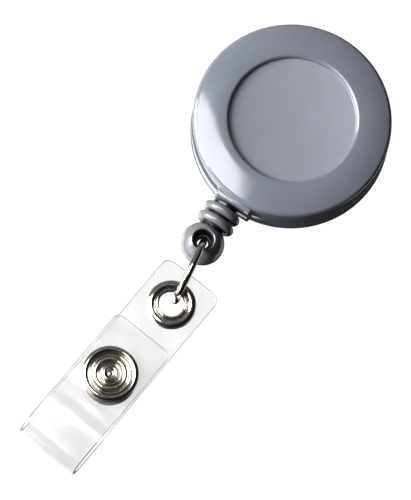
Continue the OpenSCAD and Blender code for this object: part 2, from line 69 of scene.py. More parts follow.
# Case
CASE_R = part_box("rear_case")[1].x / MM
CASE_DEPTH = -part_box("front_cover")[0].y / MM
RECESS_Z = plan(MOUNTS["label_face"]["pos_m"]).z
WALL = 1.2
INNER_R = CASE_R - WALL
CEILING_Z = RECESS_Z - WALL
MID_Z = (WALL + CEILING_Z) / 2
LABEL_R = 10.25
LABEL_EDGE_R = 0.5
RECESS_FILLET_R = 0.1
DOME_DROP = 0.8
SHOULDER_R = 0.8
REAR_EDGE_R = 0.8
PARTING_EDGE_R = 0.12
LIP_R = INNER_R + 0.5
LIP_H = 0.8
POST_R = 3.0
POST_BORE_R = 2.1
POST_TOP_Z = CEILING_Z - 0.2
PIN_R = 2.0
PIN_END_Z = CEILING_Z - 1.4
GUIDE_T = 0.8
GUIDE_L = 8.0
GUIDE_H = 0.5
GUIDE_ROOT = 0.4
FIT = 0.05

# Mouth block, bead and ring
BALL = plan(JOINTS["ring_swing"]["pos_m"])
BLOCK_X = BALL.x + 0.8
BLOCK_W = 6.4
BLOCK_DEPTH = 6.0
BLOCK_END = CASE_R + 0.6
BLOCK_TOP = INNER_R + 0.4
BLOCK_EDGE_R = 0.28
MOUTH_HOLE_R = 0.9
MOUTH_FUNNEL_R = 1.7
MOUTH_FLARE = 0.25
BALL_R = 3.5
BALL_HOLE_R = 1.6
HOLE_EDGE_R = 0.5
BEAD_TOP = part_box("stopper_bead")[1].z / MM
NECK_R = 2.25
NECK_EDGE = 0.2
RIB_R = 3.2
RIB_T = 1.5
RIB_Y = (BEAD_TOP - 1.45, BEAD_TOP - 3.35)
BORE_R = 0.55
KNOT_ROOM_R = 1.2
CORD_R = 0.4
TIGHT_CORD_R = 0.3
TAIL_TOP = BEAD_TOP + 1.1
DRUM_R = 10.0
KNOT = Vector((BALL.x, BALL.y + 2.7, BALL.z))
RING_FOOT = plan(JOINTS["strap_swing"]["pos_m"])
RING_DOWN = (RING_FOOT - BALL).normalized()
RING_R = 5.15
RING_WIRE_R = 0.6
RING_AT = RING_FOOT - RING_R * RING_DOWN
RING_TURN = math.radians(4)
LOOP_IN_R = RING_WIRE_R + 0.3

# Strap, with v up it from the middle of its eyelet
STRAP_RIGHT = plan(JOINTS["flap_open"]["axis"]).normalized()
STRAP_LEAN = math.atan2(-STRAP_RIGHT.y, STRAP_RIGHT.x)
STRAP_UP = Vector((math.sin(STRAP_LEAN), math.cos(STRAP_LEAN), 0))
EYELET_HOLE_R = 2.3
EYELET_SEAT_R = EYELET_HOLE_R + 0.35
EYELET_BARREL_R = EYELET_HOLE_R + 0.3
WIRE_PLAY = 0.55
EYELET = RING_FOOT - (EYELET_HOLE_R - RING_WIRE_R - WIRE_PLAY) * STRAP_UP
STRAP_W = 11.0
STRAP_T = 0.5
TIP_V = 5.8
FLAP_V = -7.0
SNAP_V = -15.7
FLAP_ROOT_V = (plan(JOINTS["flap_open"]["pos_m"]) - EYELET).dot(STRAP_UP)
LOOP_V = FLAP_ROOT_V - 0.4
LAYER_GAP = 3.0
LOOP_BULGE = 1.0
LOOP_R = LAYER_GAP / 2 + LOOP_BULGE
BACK_Z = MID_Z
FLAP_Z = BACK_Z + LAYER_GAP
BULGE_V = (-20.55, -24.95)
TIP_CORNER_R = 1.5
FLAP_CORNER_R = 1.2
FLAP_FACE_Z = FLAP_Z + STRAP_T / 2
FLAP_REAR_Z = FLAP_Z - STRAP_T / 2
BACK_FACE_Z = BACK_Z + STRAP_T / 2
BACK_REAR_Z = BACK_Z - STRAP_T / 2
SNAP_R = 4.55
CAP_BARREL_R = 1.0
CAP_HOLE_R = 1.05
POST_TUBE_R = 0.9
POST_HOLE_R = 0.95
SOCKET_R = 4.0
STUD_FOOT_R = 3.8
STUD_HEAD_R = 1.75
STUD_NECK_R = 1.4
HEAD_TOP_Z = FLAP_REAR_Z - 0.85
SNAP_SPRING_Z = HEAD_TOP_Z - 0.7
SNAP_SPRING_R = 1.72
SNAP_WIRE_R = 0.2
EDGE_CURL = 0.42
CURL_LENGTH = 7.5
WAVE_H = 0.03
CALM_LENGTH = 3.5

# Belt clip
CLIP_W = 12.0
CLIP_T = 0.8
CLIP_GAP = 4.8
CLIP_TOP = 9.5
CLIP_FOOT = 9.0
CLIP_BEND_R = (CLIP_GAP + CLIP_T) / 2
CLIP_NIP_Y = -6.5
CLIP_BEND_Y = 2.0
RIVET_R = 1.2
RIVET_HEAD_R = 2.5
RIVET_EDGE_R = 0.45
RIVET_TAIL_R = 1.95


def strap_matrix(v):
    """The plan of the strap, centred at v above its eyelet."""
    turn = Matrix.Rotation(-STRAP_LEAN, 4, "Z")
    return UPRIGHT @ Matrix.Translation((EYELET.x, EYELET.y, 0)) @ turn @ Matrix.Translation((0, v, 0))


# ---- Curves in a plane ----
def arc(x, y, r, start, end, steps=8):
    """Points on an arc, with angles in degrees."""
    angles = [math.radians(start + (end - start) * i / steps) for i in range(steps + 1)]
    return [(x + r * math.cos(a), y + r * math.sin(a)) for a in angles]


def spline(p, q, r, s, t):
    """A Catmull-Rom curve at t between q and r, for one coordinate."""
    square = (2 * p - 5 * q + 4 * r - s) * t * t
    cube = (3 * q - p - 3 * r + s) * t ** 3
    return 0.5 * (2 * q + (r - p) * t + square + cube)


def flowing(points, steps=6):
    """A smooth line through the points."""
    path = [points[0]] + list(points) + [points[-1]]
    found = []
    for a, b, c, d in zip(path, path[1:], path[2:], path[3:]):
        for i in range(steps):
            t = i / steps
            found.append(tuple(spline(p, q, r, s, t) for p, q, r, s in zip(a, b, c, d)))
    return found + [tuple(points[-1])]


def softened(points, radius, steps=3):
    """A closed outline with each corner cut by a small curve."""
    found = []
    for before, corner, after in zip(points[-1:] + points[:-1], points, points[1:] + points[:1]):
        here = Vector(corner)
        come = Vector(before) - here
        go = Vector(after) - here
        cut = min(radius, come.length * 0.45, go.length * 0.45)
        a = here + come.normalized() * cut
        b = here + go.normalized() * cut
        for i in range(steps + 1):
            t = i / steps
            found.append(tuple((1 - t) ** 2 * a + 2 * t * (1 - t) * here + t * t * b))
    return found


# ---- Geometry Nodes ----
def new_tree(name, inputs):
    """A geometry tree with named inputs, given as (name, socket type, default)."""
    tree = bpy.data.node_groups.new(name, "GeometryNodeTree")
    tree.interface.new_socket("Geometry", in_out="INPUT", socket_type="NodeSocketGeometry")
    for label, kind, default in inputs:
        socket = tree.interface.new_socket(label, in_out="INPUT", socket_type=kind)
        if default is not None:
            socket.default_value = default
    tree.interface.new_socket("Material", in_out="INPUT", socket_type="NodeSocketMaterial")
    tree.interface.new_socket("Geometry", in_out="OUTPUT", socket_type="NodeSocketGeometry")
    return tree, tree.nodes.new("NodeGroupInput")


def math_node(tree, operation, a, b=None):
    """A Math node whose inputs are sockets or numbers."""
    node = tree.nodes.new("ShaderNodeMath")
    node.operation = operation
    for socket, value in zip(node.inputs, (a, b)):
        if value is None:
            continue
        if isinstance(value, (int, float)):
            socket.default_value = value
        else:
            tree.links.new(value, socket)
    return node.outputs[0]


def column_and_row(tree, count):
    """A grid point's column, and its place in the column, from the count of points in one."""
    index = tree.nodes.new("GeometryNodeInputIndex").outputs[0]
    middle = math_node(tree, "ADD", index, 0.5)
    column = math_node(tree, "FLOOR", math_node(tree, "DIVIDE", middle, count))
    row = math_node(tree, "SUBTRACT", index, math_node(tree, "MULTIPLY", column, count))
    return column, row


def end_tree(tree, geometry, group_in):
    """Ends a tree in Realize Instances and Set Material."""
    realize = tree.nodes.new("GeometryNodeRealizeInstances")
    finish = tree.nodes.new("GeometryNodeSetMaterial")
    out = tree.nodes.new("NodeGroupOutput")
    tree.links.new(geometry, realize.inputs["Geometry"])
    tree.links.new(realize.outputs[0], finish.inputs["Geometry"])
    tree.links.new(group_in.outputs["Material"], finish.inputs["Material"])
    tree.links.new(finish.outputs[0], out.inputs[0])


def turned_tree():
    """Turns a profile of points, x out and z along, round the z axis."""
    tree, start = new_tree("turned piece", [("Steps", "NodeSocketInt", 96)])
    link = tree.links.new
    size = tree.nodes.new("GeometryNodeAttributeDomainSize")
    grid = tree.nodes.new("GeometryNodeMeshGrid")
    count = size.outputs["Point Count"]
    link(start.outputs["Geometry"], size.inputs[0])
    link(math_node(tree, "ADD", start.outputs["Steps"], 1), grid.inputs["Vertices X"])
    link(count, grid.inputs["Vertices Y"])
    column, row = column_and_row(tree, count)
    step = math_node(tree, "DIVIDE", math.tau, start.outputs["Steps"])
    angle = math_node(tree, "MULTIPLY", column, step)
    sample = tree.nodes.new("GeometryNodeSampleIndex")
    sample.data_type = "FLOAT_VECTOR"
    link(start.outputs["Geometry"], sample.inputs["Geometry"])
    link(tree.nodes.new("GeometryNodeInputPosition").outputs[0], sample.inputs["Value"])
    link(row, sample.inputs["Index"])
    split = tree.nodes.new("ShaderNodeSeparateXYZ")
    link(sample.outputs[0], split.inputs[0])
    out = split.outputs["X"]
    place = tree.nodes.new("ShaderNodeCombineXYZ")
    link(math_node(tree, "MULTIPLY", out, math_node(tree, "COSINE", angle)), place.inputs["X"])
    link(math_node(tree, "MULTIPLY", out, math_node(tree, "SINE", angle)), place.inputs["Y"])
    link(split.outputs["Z"], place.inputs["Z"])
    move = tree.nodes.new("GeometryNodeSetPosition")
    link(grid.outputs["Mesh"], move.inputs["Geometry"])
    link(place.outputs[0], move.inputs["Position"])
    merge = tree.nodes.new("GeometryNodeMergeByDistance")
    merge.inputs["Distance"].default_value = 1e-4
    link(move.outputs[0], merge.inputs["Geometry"])
    end_tree(tree, merge.outputs[0], start)
    return tree


def wire_ring_tree():
    """Round wire bent to a ring, with a gap between its ends."""
    sizes = [("Ring Radius", "NodeSocketFloat", 5.0), ("Wire Radius", "NodeSocketFloat", 0.5)]
    tree, start = new_tree("wire ring", sizes + [("Gap Angle", "NodeSocketFloat", 0.02)])
    link = tree.links.new
    path = tree.nodes.new("GeometryNodeCurveArc")
    path.inputs["Resolution"].default_value = 128
    link(start.outputs["Ring Radius"], path.inputs["Radius"])
    link(math_node(tree, "MULTIPLY", start.outputs["Gap Angle"], 0.5), path.inputs["Start Angle"])
    link(math_node(tree, "SUBTRACT", math.tau, start.outputs["Gap Angle"]), path.inputs["Sweep Angle"])
    round_wire = tree.nodes.new("GeometryNodeCurvePrimitiveCircle")
    round_wire.inputs["Resolution"].default_value = 28
    link(start.outputs["Wire Radius"], round_wire.inputs["Radius"])
    sweep = tree.nodes.new("GeometryNodeCurveToMesh")
    sweep.inputs["Fill Caps"].default_value = True
    link(path.outputs["Curve"], sweep.inputs["Curve"])
    link(round_wire.outputs["Curve"], sweep.inputs["Profile Curve"])
    end_tree(tree, sweep.outputs[0], start)
    return tree


def cord_turns_tree():
    """Turns of cord side by side on a drum, in layers."""
    floats = [("Drum Radius", 10.0), ("Cord Radius", 0.4), ("Turn Pitch", 0.8), ("Layer Pitch", 0.75)]
    sizes = [(label, "NodeSocketFloat", value) for label, value in floats]
    counts = [("Turns", "NodeSocketInt", 4), ("Layers", "NodeSocketInt", 3)]
    tree, start = new_tree("cord turns", sizes + counts)
    link = tree.links.new
    get = start.outputs
    grid = tree.nodes.new("GeometryNodeMeshGrid")
    link(get["Layers"], grid.inputs["Vertices X"])
    link(get["Turns"], grid.inputs["Vertices Y"])
    layer, turn = column_and_row(tree, get["Turns"])
    first = math_node(tree, "ADD", get["Drum Radius"], get["Cord Radius"])
    radius = math_node(tree, "ADD", first, math_node(tree, "MULTIPLY", layer, get["Layer Pitch"]))
    middle = math_node(tree, "MULTIPLY", math_node(tree, "SUBTRACT", get["Turns"], 1), 0.5)
    height = math_node(tree, "MULTIPLY", math_node(tree, "SUBTRACT", turn, middle), get["Turn Pitch"])
    place = tree.nodes.new("ShaderNodeCombineXYZ")
    link(height, place.inputs["Z"])
    move = tree.nodes.new("GeometryNodeSetPosition")
    link(grid.outputs["Mesh"], move.inputs["Geometry"])
    link(place.outputs[0], move.inputs["Position"])
    circle = tree.nodes.new("GeometryNodeCurvePrimitiveCircle")
    circle.inputs["Resolution"].default_value = 96
    circle.inputs["Radius"].default_value = 1
    size = tree.nodes.new("ShaderNodeCombineXYZ")
    link(radius, size.inputs["X"])
    link(radius, size.inputs["Y"])
    size.inputs["Z"].default_value = 1
    scatter = tree.nodes.new("GeometryNodeInstanceOnPoints")
    link(move.outputs[0], scatter.inputs["Points"])
    link(circle.outputs["Curve"], scatter.inputs["Instance"])
    link(size.outputs[0], scatter.inputs["Scale"])
    realize = tree.nodes.new("GeometryNodeRealizeInstances")
    link(scatter.outputs[0], realize.inputs[0])
    cord = tree.nodes.new("GeometryNodeCurvePrimitiveCircle")
    cord.inputs["Resolution"].default_value = 10
    link(get["Cord Radius"], cord.inputs["Radius"])
    sweep = tree.nodes.new("GeometryNodeCurveToMesh")
    link(realize.outputs[0], sweep.inputs["Curve"])
    link(cord.outputs["Curve"], sweep.inputs["Profile Curve"])
    end_tree(tree, sweep.outputs[0], start)
    return tree


# ---- Mesh work ----
def new_object(name, points, faces=()):
    """An object at the origin, with a mesh of points and faces."""
    mesh = bpy.data.meshes.new(name)
    mesh.from_pydata([tuple(p) for p in points], [], list(faces))
    obj = bpy.data.objects.new(name, mesh)
    bpy.context.scene.collection.objects.link(obj)
    return obj


def plain_mesh(obj):
    """The object with its modifiers turned into its mesh."""
    evaluated = obj.evaluated_get(bpy.context.evaluated_depsgraph_get())
    mesh = bpy.data.meshes.new_from_object(evaluated)
    obj.modifiers.clear()
    old = obj.data
    obj.data = mesh
    bpy.data.meshes.remove(old)
    mesh.name = obj.name
    return obj


def grow(obj, tree, material, **sizes):
    """Runs a tree on the object, with its inputs set by identifier."""
    modifier = obj.modifiers.new("shape", "NODES")
    modifier.node_group = tree
    sockets = [item for item in tree.interface.items_tree if item.in_out == "INPUT"]
    ids = {socket.name.replace(" ", "_").lower(): socket.identifier for socket in sockets}
    modifier[ids["material"]] = material
    for name, value in sizes.items():
        modifier[ids[name]] = value
    return plain_mesh(obj)


def outward(obj):
    """Merges doubles and points every face outwards."""
    shape = bmesh.new()
    shape.from_mesh(obj.data)
    bmesh.ops.remove_doubles(shape, verts=shape.verts, dist=1e-5)
    bmesh.ops.dissolve_degenerate(shape, edges=shape.edges, dist=1e-6)
    bmesh.ops.recalc_face_normals(shape, faces=shape.faces)
    shape.to_mesh(obj.data)
    shape.free()
    return obj


def turned(name, profile, material, steps=128, closed=False):
    """A turned piece. Its profile ends on the axis, or is closed."""
    points = [(r, 0, h) for r, h in profile]
    if closed:
        points.append(points[0])
    obj = new_object(name, points)
    grow(obj, TURNED, material, steps=steps)
    return outward(obj)


def boolean(obj, other, operation):
    """Joins the other object to this one, or cuts it out, and uses it up."""
    modifier = obj.modifiers.new("cut", "BOOLEAN")
    modifier.operation = operation
    modifier.solver = "EXACT"
    modifier.object = other
    plain_mesh(obj)
    bpy.data.objects.remove(other)
    return obj


def moved(obj, matrix):
    """Moves the mesh, and leaves the object at the origin."""
    obj.data.transform(matrix)
    return obj


def block(name, low, high, radius):
    """A box with rounded edges."""
    shape = bmesh.new()
    bmesh.ops.create_cube(shape, size=1)
    size = Vector(high) - Vector(low)
    centre = (Vector(high) + Vector(low)) / 2
    bmesh.ops.scale(shape, vec=size, verts=shape.verts)
    bmesh.ops.translate(shape, vec=centre, verts=shape.verts)
    bmesh.ops.bevel(shape, geom=shape.edges, offset=radius, segments=4, profile=0.5, affect="EDGES")
    obj = new_object(name, [])
    shape.to_mesh(obj.data)
    shape.free()
    return obj


def finished(obj, material, body, slot, *nodes, sharp=35):
    """Gives a piece its shading, material and body, and the CAD nodes it stands for."""
    obj.data.polygons.foreach_set("use_smooth", [True] * len(obj.data.polygons))
    obj.data.set_sharp_from_angle(angle=math.radians(sharp))
    if material:
        obj.data.materials.clear()
        obj.data.materials.append(material)
    if body:
        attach(obj, body)
    if nodes:
        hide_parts(*nodes)
    return obj


# ---- Materials ----
class Shader:
    """A material under construction: short calls that add and join nodes."""

    def __init__(self, name):
        self.material = bpy.data.materials.new(name)
        self.material.use_nodes = True
        self.tree = self.material.node_tree
        self.bsdf = self.tree.nodes["Principled BSDF"]
        self.out = self.tree.nodes["Material Output"]
        self.coords = self.tree.nodes.new("ShaderNodeTexCoord").outputs["Object"]

    def add(self, kind, **settings):
        """A new node, with its own settings."""
        node = self.tree.nodes.new("ShaderNode" + kind)
        for key, value in settings.items():
            setattr(node, key, value)
        return node

    def set(self, node, **values):
        """Sets inputs of a node by name, linking sockets and storing plain values."""
        for key, value in values.items():
            socket = node.inputs[key.replace("_", " ")]
            if isinstance(value, bpy.types.NodeSocket):
                self.tree.links.new(value, socket)
            else:
                socket.default_value = value
        return node

    def noise(self, scale, detail=3.0, stretch=(1, 1, 1), roughness=0.5):
        """Noise that sits on the piece."""
        mapping = self.set(self.add("Mapping"), Vector=self.coords, Scale=stretch)
        node = self.add("TexNoise")
        self.set(node, Vector=mapping.outputs[0], Scale=scale, Detail=detail, Roughness=roughness)
        return node.outputs["Fac"]

    def spread(self, value, low, high, start=0.3, end=0.7):
        """A value from start to end, spread over low to high."""
        node = self.add("MapRange")
        names = {"From_Min": start, "From_Max": end, "To_Min": low, "To_Max": high}
        return self.set(node, Value=value, **names).outputs["Result"]

    def math(self, operation, a, b=None):
        return math_node(self.tree, operation, a, b)

    def mix(self, share, a, b):
        """A colour between a and b."""
        node = self.add("Mix", data_type="RGBA")
        for socket, value in ((node.inputs[0], share), (node.inputs[6], a), (node.inputs[7], b)):
            if isinstance(value, bpy.types.NodeSocket):
                self.tree.links.new(value, socket)
            else:
                socket.default_value = value
        return node.outputs[2]

    def bump(self, height, strength, distance, normal=None):
        """A normal from a height, laid over another normal if one is given."""
        node = self.add("Bump")
        self.set(node, Height=height, Strength=strength, Distance=distance)
        if normal:
            self.tree.links.new(normal, node.inputs["Normal"])
        return node.outputs[0]

    def radius_from_axis(self):
        """Distance from the axis of the case, and place along it, in metres."""
        split = self.set(self.add("SeparateXYZ"), Vector=self.coords)
        x = self.math("POWER", split.outputs["X"], 2)
        z = self.math("POWER", split.outputs["Z"], 2)
        return self.math("SQRT", self.math("ADD", x, z)), split.outputs["Y"]


GREY = (0.148, 0.163, 0.197, 1)
GREY_LIGHT = (0.164, 0.179, 0.215, 1)
BEAD_GREY = (0.142, 0.147, 0.163, 1)
BEAD_GREY_LIGHT = (0.160, 0.165, 0.182, 1)
# Near-black colour of the painted shade in the bead's grooves and hole.
PAINTED_SHADE_BLACK = (0.010, 0.010, 0.012, 1)
SPOOL_WHITE = (0.62, 0.61, 0.57, 1)
SPOOL_WHITE_LIGHT = (0.70, 0.69, 0.66, 1)
CORD_BLACK = (0.012, 0.012, 0.014, 1)
CORD_BLACK_LIGHT = (0.06, 0.06, 0.066, 1)


def case_plastic():
    """Glossy grey ABS, with a satin label recess and faint handling marks."""
    shader = Shader("case_plastic")
    cloud = shader.noise(160, 4)
    colour = shader.mix(shader.spread(cloud, 0, 1), GREY, GREY_LIGHT)
    radius, depth = shader.radius_from_axis()
    inside = shader.math("LESS_THAN", radius, (LABEL_R - RECESS_FILLET_R) * MM)
    front = shader.math("LESS_THAN", depth, -(RECESS_Z - 0.1) * MM)
    satin = shader.math("MULTIPLY", inside, front)
    smears = shader.noise(420, 5, stretch=(1, 1, 0.35))
    gloss = shader.spread(smears, 0.08, 0.15)
    matt = shader.spread(smears, 0.50, 0.60)
    difference = shader.math("SUBTRACT", matt, gloss)
    roughness = shader.math("ADD", gloss, shader.math("MULTIPLY", difference, satin))
    grain = shader.noise(9000, 2)
    waves = shader.noise(260, 1)
    grained = shader.bump(grain, 0.05, 0.00002)
    normal = shader.bump(waves, 0.08, 0.00015, grained)
    shader.set(shader.bsdf, Base_Color=colour, Roughness=roughness, Normal=normal, IOR=1.65)
    return shader.material


def bead_plastic():
    """Grey ABS, duller than the case, with painted shade in near-black down between its ribs, round its neck and
    inside the hole across its ball.
    """
    shader = Shader("bead_plastic")
    colour = shader.mix(shader.spread(shader.noise(240, 4), 0, 1), BEAD_GREY, BEAD_GREY_LIGHT)
    place = shader.set(shader.add("SeparateXYZ"), Vector=shader.coords)
    across = shader.math("POWER", shader.math("SUBTRACT", place.outputs["X"], BALL.x * MM), 2)
    back = shader.math("POWER", shader.math("ADD", place.outputs["Y"], BALL.z * MM), 2)
    radius = shader.math("SQRT", shader.math("ADD", across, back))
    # Painted shade: the neck, the grooves between the ribs, and the wall and rim of the ball's hole are coloured
    # towards near-black, where they would lie in shade.
    deep = shader.spread(radius, 1, 0, (NECK_R + 0.1) * MM, (RIB_R - 0.35) * MM)
    above = shader.spread(place.outputs["Z"], 0, 1, (BALL.y + 2.2) * MM, (BALL.y + 2.7) * MM)
    rise = shader.math("POWER", shader.math("SUBTRACT", place.outputs["Z"], BALL.y * MM), 2)
    from_hole = shader.math("SQRT", shader.math("ADD", across, rise))
    hole = shader.spread(from_hole, 1, 0, (BALL_HOLE_R + 0.02) * MM, (BALL_HOLE_R + 0.25) * MM)
    painted_shade = shader.math("MAXIMUM", shader.math("MULTIPLY", deep, above), hole)
    colour = shader.mix(painted_shade, colour, PAINTED_SHADE_BLACK)
    roughness = shader.spread(shader.noise(500, 4), 0.16, 0.26)
    grained = shader.bump(shader.noise(5000, 2), 0.05, 0.00002)
    shader.set(shader.bsdf, Base_Color=colour, Roughness=roughness, Normal=grained, IOR=1.55)
    return shader.material


def spool_plastic():
    """Natural moulded plastic, slightly waxy."""
    shader = Shader("spool_plastic")
    colour = shader.mix(shader.spread(shader.noise(220, 3), 0, 1), SPOOL_WHITE, SPOOL_WHITE_LIGHT)
    roughness = shader.spread(shader.noise(600, 4), 0.35, 0.5)
    grained = shader.bump(shader.noise(2500), 0.1, 0.00003)
    shader.set(shader.bsdf, Base_Color=colour, Roughness=roughness, Normal=grained)
    return shader.material


def plated(name, dark, light, low, high, streak=(1, 1, 1)):
    """Plated metal with polishing marks, in colours from dark to light and roughness from low to high."""
    shader = Shader(name)
    colour = shader.mix(shader.spread(shader.noise(500, 5), 0, 1), dark, light)
    marks = shader.noise(1800, 6, stretch=streak, roughness=0.65)
    roughness = shader.spread(marks, low, high)
    ripple = shader.bump(shader.noise(700, 2), 0.12, 0.00004)
    normal = shader.bump(marks, 0.06, 0.00002, ripple)
    shader.set(shader.bsdf, Base_Color=colour, Metallic=1.0, Roughness=roughness, Normal=normal)
    return shader.material


def cord_nylon():
    """Black braided nylon."""
    shader = Shader("cord_nylon")
    waves = []
    for turn in (0.8, -0.8):
        mapping = shader.set(shader.add("Mapping"), Vector=shader.coords, Rotation=(turn, turn, 0.4))
        node = shader.add("TexWave")
        shader.set(node, Vector=mapping.outputs[0], Scale=650.0, Distortion=0.6, Detail=1.0)
        waves.append(node.outputs["Fac"])
    braid = shader.math("MULTIPLY", *waves)
    colour = shader.mix(braid, CORD_BLACK, CORD_BLACK_LIGHT)
    roughness = shader.spread(braid, 0.55, 0.75, 0, 1)
    shader.set(shader.bsdf, Base_Color=colour, Roughness=roughness, Normal=shader.bump(braid, 0.5, 0.00006))
    return shader.material


def clear_sheet(name, veil, tint, see_through):
    """Clear flexible sheet: light passes straight through, over a faint veil, under a glossy film."""
    shader = Shader(name)
    tree = shader.tree
    tree.nodes.remove(shader.bsdf)
    cloud = shader.noise(90, 3)
    through = shader.set(shader.add("BsdfTransparent"), Color=see_through)
    body = shader.set(shader.add("BsdfDiffuse"), Color=tint)
    base = shader.add("MixShader")
    tree.links.new(shader.spread(cloud, veil * 0.6, veil * 1.4), base.inputs[0])
    tree.links.new(through.outputs[0], base.inputs[1])
    tree.links.new(body.outputs[0], base.inputs[2])
    facing = shader.add("LayerWeight").outputs["Facing"]
    edge = shader.math("MULTIPLY", shader.math("POWER", facing, 4.0), 0.9)
    mirror = shader.math("ADD", edge, 0.03)
    waves = shader.bump(shader.noise(120, 2), 0.15, 0.0004)
    film = shader.set(shader.add("BsdfGlossy"), Roughness=0.2, Normal=waves, Color=(1, 1, 1, 1))
    top = shader.add("MixShader")
    tree.links.new(mirror, top.inputs[0])
    tree.links.new(base.outputs[0], top.inputs[1])
    tree.links.new(film.outputs[0], top.inputs[2])
    tree.links.new(top.outputs[0], shader.out.inputs["Surface"])
    return shader.material


# ---- Case ----
def front_cover():
    """Domed front shell with its label recess and its half of the mouth block."""
    dome_x = LABEL_R + LABEL_EDGE_R
    dome_r = ((CASE_R - dome_x) ** 2 + DOME_DROP ** 2) / (2 * DOME_DROP)
    dome_z = CASE_DEPTH - dome_r
    shoulder_x = CASE_R - SHOULDER_R
    rise = math.sqrt((dome_r - SHOULDER_R) ** 2 - (shoulder_x - dome_x) ** 2)
    shoulder_a = math.degrees(math.atan2(rise, shoulder_x - dome_x))
    fillet = RECESS_FILLET_R
    seam = PARTING_EDGE_R
    profile = [(0, RECESS_Z)]
    profile += arc(LABEL_R - fillet, RECESS_Z + fillet, fillet, -90, 0, 5)
    profile += arc(dome_x, CASE_DEPTH - LABEL_EDGE_R, LABEL_EDGE_R, 180, 90, 8)
    profile += arc(dome_x, dome_z, dome_r, 90, shoulder_a, 28)[1:]
    profile += arc(shoulder_x, dome_z + rise, SHOULDER_R, shoulder_a, 0, 12)[1:]
    profile += arc(CASE_R - seam, MID_Z + seam, seam, 0, -90, 3)
    profile += [(LIP_R + FIT, MID_Z), (LIP_R + FIT, MID_Z + LIP_H + FIT), (INNER_R, MID_Z + LIP_H + FIT)]
    profile += [(INNER_R, CEILING_Z - WALL), (INNER_R - WALL, CEILING_Z), (PIN_R, CEILING_Z)]
    profile += [(PIN_R, PIN_END_Z), (0, PIN_END_Z)]
    shell = turned("front_cover_shell", profile, None, steps=192)
    low = (BLOCK_X - BLOCK_W / 2, -BLOCK_END, MID_Z)
    high = (BLOCK_X + BLOCK_W / 2, -BLOCK_TOP, MID_Z + BLOCK_DEPTH / 2)
    boolean(shell, block("cover_block", low, high, BLOCK_EDGE_R), "UNION")
    boolean(shell, mouth_cutter(), "DIFFERENCE")
    moved(outward(shell), UPRIGHT)
    return finished(shell, CASE, "reel", "case_plastic", "front_cover", sharp=32)


def mouth_cutter():
    """The round hole of the mouth, with a funnel at its inner end and a flare at its outer one."""
    start = INNER_R - 2
    end = BLOCK_END + 1
    wide = MOUTH_HOLE_R + MOUTH_FLARE
    profile = [(0, start), (MOUTH_FUNNEL_R, start), (MOUTH_FUNNEL_R, INNER_R), (MOUTH_HOLE_R, INNER_R + 0.8)]
    profile += [(MOUTH_HOLE_R, BLOCK_END - MOUTH_FLARE), (wide, BLOCK_END), (wide, end), (0, end)]
    cutter = turned("mouth_cutter", profile, None, steps=48)
    return moved(cutter, Matrix.Translation((BALL.x, 0, MID_Z)) @ Matrix.Rotation(math.radians(90), 4, "X"))


def rear_case():
    """Rear shell with the centre post, the guides for the clip and its half of the mouth block."""
    seam = PARTING_EDGE_R
    profile = [(RIVET_R + FIT, 0)] + arc(CASE_R - REAR_EDGE_R, REAR_EDGE_R, REAR_EDGE_R, -90, 0, 8)
    profile += arc(CASE_R - seam, MID_Z - seam, seam, 0, 90, 3)
    profile += [(LIP_R, MID_Z), (LIP_R, MID_Z + LIP_H), (INNER_R, MID_Z + LIP_H), (INNER_R, WALL)]
    profile += [(POST_R, WALL), (POST_R, POST_TOP_Z), (POST_BORE_R, POST_TOP_Z), (POST_BORE_R, WALL)]
    profile += [(RIVET_R + FIT, WALL)]
    shell = turned("rear_case_shell", profile, None, steps=192, closed=True)
    low = (BLOCK_X - BLOCK_W / 2, -BLOCK_END, MID_Z - BLOCK_DEPTH / 2)
    high = (BLOCK_X + BLOCK_W / 2, -BLOCK_TOP, MID_Z)
    boolean(shell, block("rear_block", low, high, BLOCK_EDGE_R), "UNION")
    for side in (-1, 1):
        x = side * (CLIP_W / 2 + 0.5)
        low = (x - GUIDE_T / 2, -GUIDE_L / 2, -GUIDE_H)
        high = (x + GUIDE_T / 2, GUIDE_L / 2, GUIDE_ROOT)
        boolean(shell, block("guide", low, high, 0.12), "UNION")
    boolean(shell, mouth_cutter(), "DIFFERENCE")
    slot = block("tab_slot", (1.0, -0.25, 2.5), (4.0, 0.25, 8.0), 0.02)
    boolean(shell, slot, "DIFFERENCE")
    moved(outward(shell), UPRIGHT)
    return finished(shell, CASE, "reel", "case_plastic", "rear_case", sharp=32)


# ---- Folded strips ----
def strip_rows(path, spacing):
    """Evenly spaced points along a path of (z, v), with the length run at each."""
    lengths = [0]
    for a, b in zip(path, path[1:]):
        lengths.append(lengths[-1] + math.dist(a, b))
    total = lengths[-1]
    count = round(total / spacing)
    rows = []
    k = 0
    for i in range(count + 1):
        run = total * i / count
        while k < len(path) - 2 and lengths[k + 1] < run:
            k += 1
        t = (run - lengths[k]) / (lengths[k + 1] - lengths[k])
        z = path[k][0] * (1 - t) + path[k + 1][0] * t
        v = path[k][1] * (1 - t) + path[k + 1][1] * t
        rows.append((z, v, run))
    return rows, total


def half_width(run, total, width, first_r, last_r):
    """Half the width of a strip with rounded corners, at a distance along it."""
    for left, r in ((run, first_r), (total - run, last_r)):
        if left < r:
            return width / 2 - r + math.sqrt(max(r * r - (r - left) ** 2, 0))
    return width / 2


